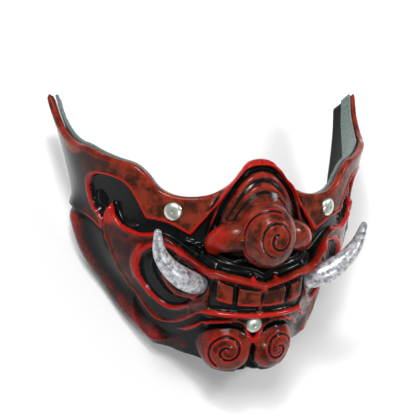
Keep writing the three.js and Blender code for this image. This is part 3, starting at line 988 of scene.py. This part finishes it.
@dataclass(frozen=True)
class Shell:
    """The moulded shell: carved outside, plain inside and a rolled rim all round."""

    face: FaceForm
    outline: Outline
    carving: Carving
    wall: float = WALL
    half_columns: int = 215
    outer_rows: int = 206
    inner_rows: int = 14
    rim_rows: int = 5
    end_round: float = 0.012
    least_wall: float = 1.6
    inner_dark: float = 1.3

    def rings(self) -> Surface:
        """The whole wall as closed loops from wing to wing.

        Each loop climbs the carved outside, rolls over the upper rim on a half ellipse,
        comes down the inner wall and rolls under the lower rim. Near a wing's end the
        wall closes like a quarter ellipse.
        """
        even = np.linspace(0, 1, self.half_columns)[:, None]
        share = 0.35 * even + 0.65 * even**2
        t = np.linspace(0, 1, self.outer_rows)
        outer = self.outline.place(share, t)
        inner = self.outline.place(share, np.linspace(1, 0, self.inner_rows))
        u, z = outer[..., 0], outer[..., 1]
        fields = self.carving.carve(u, z)
        backed = self.carving.room(u, z, self.wall) + self.least_wall
        h = np.maximum(fields.pop("height"), backed)
        self.wear(h, fields, u, t, share)
        depth = self.carving.room(inner[..., 0], inner[..., 1], self.wall)
        top = self.rim(outer[:, -1], outer[:, -4], h[:, -1], depth[:, 0])
        low = self.rim(outer[:, 0], outer[:, 3], depth[:, -1], h[:, 0])
        places = np.concatenate([outer, top[0], inner, low[0]], 1)
        heights = np.concatenate([h, top[1], depth, low[1]], 1)
        past = np.clip((share - 1 + self.end_round) / self.end_round, 0, 0.999)
        middle = (h[:, :1] + depth[:, :1]) / 2
        closed = middle + (heights - middle) * np.sqrt(1 - past**2)
        heights = np.where(share > 1 - self.end_round, closed, heights)
        half = self.face.at(places[..., 0], places[..., 1], heights)
        for key, values in fields.items():
            upper = np.repeat(values[:, -1:], self.rim_rows, 1)
            lower = np.repeat(values[:, :1], self.rim_rows, 1)
            inside = np.full(depth.shape, self.inner_dark if key == "dark" else 0.0)
            joined = np.concatenate([values, upper, inside, lower], 1)
            fields[key] = np.vstack([joined[:0:-1], joined])
        return Surface(np.vstack([half[:0:-1] * np.array([-1, 1, 1]), half]), fields)

    def rim(self, edge: Array, inward: Array, start: Array, end: Array) -> tuple[Array, Array]:
        """A rolled rim beyond an edge: a half ellipse from one wall's height to the other's.

        Args:
            edge: (u, z) on the rim.
            inward: (u, z) a few rows inside it.
            start: Height where the roll starts.
            end: Height where it ends.

        Returns:
            (u, z) and height of each row of the roll.
        """
        away = edge - inward
        away /= np.linalg.norm(away, axis=-1, keepdims=True)
        turn = np.pi * np.arange(1, self.rim_rows + 1) / (self.rim_rows + 1)
        reach = np.minimum(0.45 * np.abs(start - end), self.outline.rim_reach)[:, None]
        places = edge[:, None] + away[:, None] * (reach * np.sin(turn))[..., None]
        heights = ((start + end) / 2)[:, None] + ((start - end) / 2)[:, None] * np.cos(turn)
        return places, heights

    def wear(self, h: Array, fields: dict[str, Array], u: Array, t: Array, share: Array) -> None:
        """Adds wear to the paints: red where the carving stands up, black where it dips.

        A point is proud by its height less the mean height around it, on a small and on
        a wide window. Black also lies along the jaw's lower edge, and the upper edge is worn red.

        Args:
            h: Heights on the grid.
            fields: The carving's own paint fields, which are changed.
            u: Arc positions.
            t: Share of the way up each column.
            share: Share of the way along the edges.
        """
        proud, broad = h - blurred(h, (5, 5)), h - blurred(h, (14, 14))
        lifted = np.clip(proud * 0.22, -0.1, 0.14) + np.clip(broad * 0.05, -0.15, 0.06)
        red = fields["red"] + lifted * (1 - np.clip(fields["dark"], 0, 1))
        dipped = np.clip(-proud * 0.8, -0.25, 0.75) + np.clip(-broad * 0.2, -0.15, 0.4)
        dark = fields["dark"] + dipped
        span = self.outline.place(share, 1.0) - self.outline.place(share, 0.0)
        length = np.linalg.norm(span, axis=-1)
        below, above = t * length, (1 - t) * length
        dark = dark + 0.9 * step_down(below, 0.6, 3.6) * step_up(u, 30, 44)
        top_edge = step_down(above - 3.5 * step_up(u, 98, 110), 0.6, 2.6)
        tone = np.maximum(fields["tone"], 0.9 * top_edge)
        red, dark = np.clip(red + 0.25 * top_edge, 0, 1), np.clip(dark - 0.9 * top_edge, 0, 1.2)
        fields.update(red=red, dark=dark, tone=tone)

    def build(self, pose: RestPose, finish: Finish) -> None:
        """Makes the shell in one closed mesh."""
        finish_piece(self.rings().build("shell_carved", pose), finish, "shell_lacquer", "shell")


@dataclass(frozen=True)
class Swelling:
    """A rounded form on the face: an ellipsoid whose front carries engraved spirals."""

    name: str
    centre: tuple[float, float, float]
    radii: tuple[float, float, float]
    grooves: tuple[Points, ...] = ()
    groove_depth: float = 0.8
    groove_width: float = 0.5
    rings: int = 110
    sides: int = 144
    tone: float = 0.9
    pole: float = 0.4  # Degrees between an axis end and the first ring.

    def surface(self, backing: Backing) -> Surface:
        """Rings from the front pole to the back, which is held inside the wall.

        A point at polar angle p and azimuth a is the centre plus the radii times
        (sin p cos a, -cos p, sin p sin a), each radius less the groove's bell and plus a
        low bell beside it.
        """
        a, p = np.meshgrid(np.arange(self.sides) * CIRCLE / self.sides,
                           np.linspace(self.pole, 180 - self.pole, self.rings))
        polar, azimuth = np.radians(p), np.radians(a)
        across = (self.radii[0] + self.radii[2]) / 2 * polar
        reach = np.full(across.shape, np.inf)
        for knots in self.grooves:
            reach = np.minimum(reach, spiral_distance(a, across, smooth_line(knots, 8)))
        cut = bell(reach, self.groove_width)
        swell = self.groove_depth * (0.2 * bell(reach - 1.5, 0.9) - cut)
        unit = np.stack([np.sin(polar) * np.cos(azimuth), -np.cos(polar),
                         np.sin(polar) * np.sin(azimuth)], -1)
        points = np.asarray(self.centre) + unit * (np.asarray(self.radii) + swell[..., None])
        red = 0.1 + 0.22 * bell(reach - 1.4, 0.9) + 0.12 * step_up(p, 40, 80)
        dark = 1.1 * bell(reach, 0.62) + 0.8 * step_up(p, 92, 112)
        tone = np.full(red.shape, self.tone)
        return Surface(backing.hold(points), {"red": red, "dark": dark, "tone": tone})

    def build(self, backing: Backing, pose: RestPose, finish: Finish) -> None:
        """Makes the swelling, which is part of the shell's own moulding."""
        finish_piece(self.surface(backing).build(self.name, pose), finish, "shell_lacquer")


@dataclass(frozen=True)
class NostrilWing:
    """The side of a nostril: a bent comma that swells from the nose and curls down."""

    side: Side
    line: Points = (
        (6, -86, 3.5), (13, -88, 4.2), (20, -85.5, 3), (25, -80.5, -0.8), (24.5, -78.5, -6),
    )
    radii: Sequence[float] = (8, 8.6, 8, 5.8, 3.4)
    tone: float = 0.85
    steps: int = 14
    sides: int = 56

    def build(self, backing: Backing, pose: RestPose, finish: Finish) -> None:
        """Makes the wing, part of the shell's moulding: black below, red at its outer turn."""
        rings = swept(self.line, self.radii, self.steps, self.sides)
        x, z = rings[..., 0], rings[..., 2]
        red = 0.1 + 0.3 * step_up(x, 19, 27) + 0.08 * bell(z - 6, 4)
        dark = 0.9 * step_up(-z - 0.12 * x, -1, 4) * step_down(x, 19, 23)
        dark += 0.6 * step_up(-z, 3.5, 8)
        fields = {"red": red, "dark": dark, "tone": np.full(x.shape, self.tone)}
        rings = backing.hold(rings) * np.array([self.side.value, 1, 1])
        piece = Surface(rings, fields).build(f"nostril_wing_{self.side.name.lower()}", pose)
        finish_piece(piece, finish, "shell_lacquer")


@dataclass(frozen=True)
class Tusk:
    """One tusk: circles carried along a bent centre line, from its root to its tip."""

    side: Side
    line: Points = (
        (31.5, -75.5, -24), (37, -78.5, -22), (43.5, -80.5, -18.5), (51, -82, -12.3),
        (57, -84, -3.6), (59.3, -87, 7.5),
    )
    radii: Sequence[float] = (5.6, 6.1, 6, 5, 3.7, 2)
    steps: int = 14
    sides: int = 48

    def surface(self) -> Surface:
        """Circles swept along the centre line, with both ends rounded."""
        line = np.asarray(self.line) * np.array([self.side.value, 1, 1])
        return Surface(swept(line, self.radii, self.steps, self.sides), {})

    def build(self, backing: Backing, pose: RestPose, finish: Finish) -> None:
        """Makes the tusk in place of its CAD node, its root held inside the wall."""
        name = self.side.name.lower()
        piece = Surface(backing.hold(self.surface().rings), {}).build(f"tusk_{name}_carved", pose)
        finish_piece(piece, finish, "tusk", f"tusk_{name}")


@dataclass(frozen=True)
class Stud:
    """A tubular rivet's cap: a flat-topped dome with a rolled rim and a small dimple."""

    node: str
    u: float
    z: float
    lift: float
    radius: float = 5.2
    height: float = 2.4
    shank: float = 2.0
    dimple: float = 0.45
    dimple_width: float = 0.7
    foot_radius: float = 0.2
    rings: int = 26
    sides: int = 64

    def surface(self, face: FaceForm) -> Surface:
        """The profile from the shank's foot to the dimple, turned about the face's normal.

        The cap's height at radius r is height * (1 - (r / radius)^3)^0.5, less a bell
        for the dimple.
        """
        spot, rise = np.array([self.u]), np.array([self.z])
        axis = face.normal(spot, rise)[0]
        seat = face.at(spot, rise, np.array([self.lift]))[0]
        r = self.radius * np.sin(np.linspace(math.pi / 2, 0.02, self.rings))
        top = self.height * np.sqrt(1 - (r / self.radius) ** 3)
        top -= self.dimple * bell(r, self.dimple_width)
        r = np.concatenate([[self.foot_radius, self.radius, self.radius], r])[:, None, None]
        top = np.concatenate([[-self.shank, -self.shank, -0.1], top])[:, None, None]
        points = seat + spokes_about(axis, self.sides) * r + axis * top
        # Painted shade: darker in the dimple and on the steep edge of the cap.
        dark = 0.6 * bell(r, 0.9) + 0.3 * step_up(r, 4.4, 5.2)
        return Surface(points, {"dark": np.repeat(dark[..., 0], self.sides, 1)})

    def build(self, face: FaceForm, pose: RestPose, finish: Finish) -> None:
        """Makes the cap in place of its CAD node."""
        piece = self.surface(face).build(f"{self.node}_cap", pose)
        finish_piece(piece, finish, "rivet", self.node)


@dataclass(frozen=True)
class Lining:
    """Felt glued inside one cheek and wing, standing a little past the rim."""

    side: Side
    face: FaceForm
    outline: Outline
    carving: Carving
    wall: float = WALL
    glue_gap: float = 0.9
    thickness: float = 2.0
    proud: float = 1.2
    share: tuple[float, float] = (0.180, 0.988)
    reach_up: tuple[float, float] = (0.66, 0.99)
    pucker: float = 0.15
    # Estimated; the strip's edges on the glued face are 131 to 138 mm long.
    blank_mm: tuple[float, float] = (34.0, 125.0)
    columns: int = 150
    rows: int = 46

    def glued(self) -> tuple[Array, Array]:
        """(u, z) on the strip's grid and the height of its glued face there."""
        share = np.linspace(*self.share, self.columns)[:, None]
        place = self.outline.place(share, np.linspace(*self.reach_up, self.rows))
        return place, self.carving.room(place[..., 0], place[..., 1], self.wall) - self.glue_gap

    def surface(self) -> Surface:
        """Closed loops of felt: out along the glued face and back along the free one.

        The free face is raised by a product of sines up to 0.15 mm high, as pressed wool
        is never quite flat.
        """
        place, glued = self.glued()
        u, z = place[..., 0], place[..., 1]
        pucker = self.pucker * np.sin(u * 0.9 + 1.3 * np.sin(z * 0.5)) * np.sin(z * 0.8 + u * 0.23)
        free = glued - self.thickness + pucker
        away = place[:, -1] - place[:, -3]
        away /= np.linalg.norm(away, axis=-1, keepdims=True)
        turn = np.radians(np.linspace(0, 180, 7))
        bulge = self.proud + self.thickness * 0.45 * np.sin(turn)
        rim = place[:, -1][:, None] + away[:, None] * bulge[:, None]
        rim_height = free[:, -1:] + (glued - free)[:, -1:] * (1 + np.cos(turn)) / 2
        places = np.concatenate([place, rim, place[:, ::-1]], 1)
        heights = np.concatenate([glued, rim_height, free[:, ::-1]], 1)
        points = self.face.at(places[..., 0], places[..., 1], heights)
        return Surface(points * np.array([self.side.value, 1, 1]), {})

    def area(self) -> float:
        """Area of the felt in square metres: its glued grid cells and what stands proud."""
        place, glued = self.glued()
        worn = self.face.at(place[..., 0], place[..., 1], glued)
        across, upward = np.diff(worn, axis=0)[:, :-1], np.diff(worn, axis=1)[:-1]
        bare = np.linalg.norm(np.cross(across, upward), axis=-1).sum()
        length = np.linalg.norm(np.diff(worn[:, -1], axis=0), axis=-1).sum()
        return (bare + length * self.proud) * MM**2

    def cut(self) -> tuple[float, float]:
        """Estimated width and length of the felt's flat blank in metres, before it is glued."""
        width, length = self.blank_mm
        return width * MM, length * MM

    def build(self, pose: RestPose, finish: Finish) -> None:
        """Makes the lining in place of its CAD node."""
        name = self.side.name.lower()
        piece = self.surface().build(f"lining_{name}_felt", pose)
        finish_piece(piece, finish, "lining_felt", f"lining_{name}")
        self.area()


@dataclass(frozen=True)
class Studio:
    """A pale table, soft lights that follow the worn mask, and the camera."""

    pose: RestPose
    azimuth_deg: float = -21.0
    elevation_deg: float = 11.4
    roll_deg: float = 2.3
    focal_mm: float = 121.15
    distance_mm: float = 790.0
    target: tuple[float, float, float] = (0.0, -43.0, 0.0)
    shift: tuple[float, float] = (-0.0632, 0.044)
    aim: tuple[float, float, float] = (0.0, -60.0, 0.0)
    diffuser_deg: float = 26.0
    table_reach: float = 2.5
    table_points: int = 41

    def camera(self) -> None:
        """Looks at the worn target from an azimuth and elevation about it, then rolls."""
        a, e, r = (math.radians(v) for v in (self.azimuth_deg, self.elevation_deg, self.roll_deg))
        back = np.array([math.sin(a) * math.cos(e), -math.cos(a) * math.cos(e), math.sin(e)])
        right = np.array([math.cos(a), math.sin(a), 0.0])
        up = np.cross(back, right)
        rolled = [math.cos(r) * v + math.sin(r) * w for v, w in ((right, up), (up, -right))]
        axes = [self.pose.lay_direction(axis) for axis in (*rolled, back)]
        turned = Matrix(axes).transposed()
        data = bpy.data.cameras.new("camera")
        data.lens = self.focal_mm
        data.sensor_width = 36.0
        data.shift_x, data.shift_y = self.shift
        camera = new_object("camera", data)
        spot = self.pose.lay(np.asarray(self.target) + back * self.distance_mm)
        camera.matrix_world = Matrix.Translation(Vector(spot)) @ turned.to_4x4()
        bpy.context.scene.camera = camera

    def softbox(self, name: str, place: tuple[float, float, float], size: tuple[float, float],
                power: float) -> None:
        """A rectangular area light at a worn place, turned to the mask.

        Args:
            name: The light's name.
            place: Where it stands, worn millimetres.
            size: Its width and height in metres.
            power: Its power in watts.
        """
        data = bpy.data.lights.new(name, "AREA")
        data.shape = "RECTANGLE"
        data.size, data.size_y = size
        data.energy = power
        spot, aimed = (Vector(self.pose.lay(np.asarray(v, float))) for v in (place, self.aim))
        turned = (aimed - spot).to_track_quat("-Z", "Y").to_matrix().to_4x4()
        new_object(name, data).matrix_world = Matrix.Translation(spot) @ turned

    def lamp(self, toward: tuple[float, float, float], strength: float) -> None:
        """A far, wide round diffuser: even light on the mask and the table.

        Args:
            toward: Worn direction from the mask to the diffuser.
            strength: Its irradiance in watts per square metre.
        """
        data = bpy.data.lights.new("diffuser", "SUN")
        data.energy = strength
        data.angle = math.radians(self.diffuser_deg)
        turn = self.pose.lay_direction(np.asarray(toward, float)).to_track_quat("Z", "Y")
        new_object("diffuser", data).matrix_world = turn.to_matrix().to_4x4()

    def table(self) -> None:
        """A wide table top, in metres, rising as a parabola at its far edge so none shows."""
        count = self.table_points
        x, y = np.meshgrid(*[np.linspace(-self.table_reach, self.table_reach, count)] * 2)
        grid = np.stack([x, y, 0.25 * np.maximum(y - 1.6, 0) ** 2], -1)
        faces = sheet_faces(count, count, wrap=False)
        mesh = bpy.data.meshes.new("table")
        mesh.from_pydata(grid.reshape(-1, 3).tolist(), [], faces.tolist())
        table = new_object("table", mesh)
        table.data.materials.append(TableFinish().material())

    def light(self) -> None:
        """Weak white light from all round, one diffuser and three softboxes for the gloss."""
        world = bpy.data.worlds.new("studio")
        bpy.context.scene.world = world
        world.use_nodes = True
        tree = world.node_tree
        fill(tree, tree.nodes["Background"].inputs, {"Color": (1, 1, 1, 1), "Strength": 0.34})
        self.lamp((-0.30, -0.62, 0.72), 1.35)
        for name, place, size, power in (
            ("key", (-180, -420, 480), (0.11, 0.11), 1.5),
            ("fill", (520, -360, 330), (0.14, 0.14), 1.5),
            ("front", (60, -700, -160), (0.24, 0.04), 0.9),
        ):
            self.softbox(name, place, size, power)

    def build(self) -> None:
        """Sets up the table, the lights, the camera and the plain view transform."""
        self.table()
        self.light()
        self.camera()
        bpy.context.scene.view_settings.view_transform = "Standard"


def main() -> None:
    """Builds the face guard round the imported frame, piece by piece."""
    logging.basicConfig(level=logging.INFO, format="%(message)s")
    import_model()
    face, outline, carving = FaceForm(), Outline(), Carving()
    lacquer, backing = LacquerFinish(), Backing(face, carving)
    pose = RestPose.from_frame(Tusk(Side.LEFT).surface().rings, "tusk_left")
    log.info("rest offset %s", pose.offset)

    Shell(face, outline, carving).build(pose, lacquer)
    Swelling("nose_ball", (0, -92, 5.5), (15.5, 17, 18), (NOSE_SPIRAL, NOSE_ARC)).build(
        backing, pose, lacquer)
    for side in Side:
        NostrilWing(side).build(backing, pose, lacquer)
        Tusk(side).build(backing, pose, TuskFinish())
        Lining(side, face, outline, carving).build(pose, FeltFinish())
    nickel = NickelFinish()
    for node, u, z in RIVETS:
        lift = carving.carve(np.array([abs(u)]), np.array([z]))["height"][0]
        Stud(node, u, z, lift).build(face, pose, nickel)
    Studio(pose).build()


if __name__ == "__main__":
    main()
